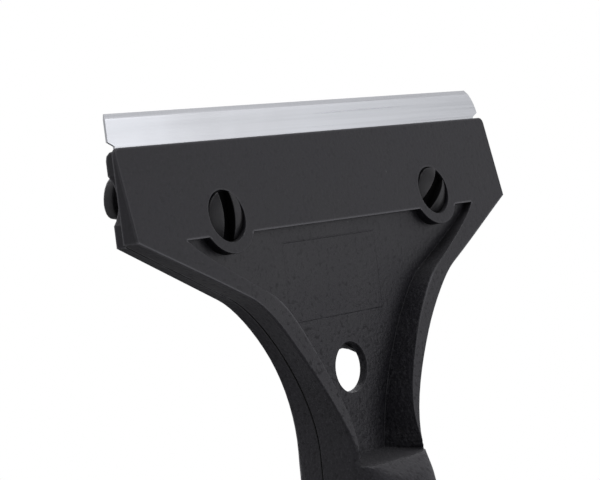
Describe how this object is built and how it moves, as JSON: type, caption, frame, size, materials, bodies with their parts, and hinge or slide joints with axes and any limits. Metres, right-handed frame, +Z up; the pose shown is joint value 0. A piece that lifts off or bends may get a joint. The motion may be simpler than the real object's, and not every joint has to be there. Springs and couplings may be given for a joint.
{
  "type": "window scraper",
  "caption": "Window scraper with a wide replaceable steel blade clamped between two moulded handle halves by slotted screws and wing nuts, with a hanging hole in the neck.",
  "frame": {"origin": "middle of the flat butt face, on the parting plane of the handle", "axes": "+Z up along the handle to the blade, +X along the cutting edge, -Y out of the flush front, +Y towards the wing nuts"},
  "size_m": [0.1002, 0.0234, 0.2],
  "materials": {
    "handle_plastic": "fine moulded texture, black",
    "nut_plastic": "moulded, black",
    "blade_steel": "cold rolled with a ground edge",
    "screw_black": "blackened",
    "washer_zinc": "zinc plated",
    "insert_brass": "turned"
  },
  "bodies": {
    "front_half": {"front_handle": "handle_plastic"},
    "rear_half": {"rear_handle": "handle_plastic"},
    "blade": {"blade": "blade_steel"},
    "left_screw": {"left_screw": "screw_black"},
    "right_screw": {"right_screw": "screw_black"},
    "left_nut": {"left_wing_nut": "nut_plastic", "left_nut_insert": "insert_brass", "left_washer": "washer_zinc"},
    "right_nut": {"right_wing_nut": "nut_plastic", "right_nut_insert": "insert_brass", "right_washer": "washer_zinc"}
  },
  "joints": [
    {"name": "jaw_open", "type": "hinge", "parent": "front_half", "child": "rear_half", "pos_m": [0, 0.0043, 0.0045], "axis": [-1, 0, 0], "range_deg": [0, 0.52]},
    {"name": "left_nut_turn", "type": "hinge", "parent": "rear_half", "child": "left_nut", "pos_m": [-0.0283, 0.006, 0.1825], "axis": [0, 1, 0], "range_deg": [0, 720]},
    {"name": "right_nut_turn", "type": "hinge", "parent": "rear_half", "child": "right_nut", "pos_m": [0.0283, 0.006, 0.1825], "axis": [0, 1, 0], "range_deg": [0, 720]},
    {"name": "left_screw_turn", "type": "hinge", "parent": "front_half", "child": "left_screw", "pos_m": [-0.0283, 0, 0.1825], "axis": [0, 1, 0], "continuous": true},
    {"name": "right_screw_turn", "type": "hinge", "parent": "front_half", "child": "right_screw", "pos_m": [0.0283, 0, 0.1825], "axis": [0, 1, 0], "continuous": true},
    {"name": "blade_slide", "type": "slide", "parent": "front_half", "child": "blade", "axis": [0, 0, 1], "range_m": [0, 0.02]}
  ],
  "couplings": [
    {"joint": "right_nut_turn", "follows": "left_nut_turn", "ratio": 1},
    {"joint": "jaw_open", "follows": "left_nut_turn", "ratio": 0.000715}
  ]
}
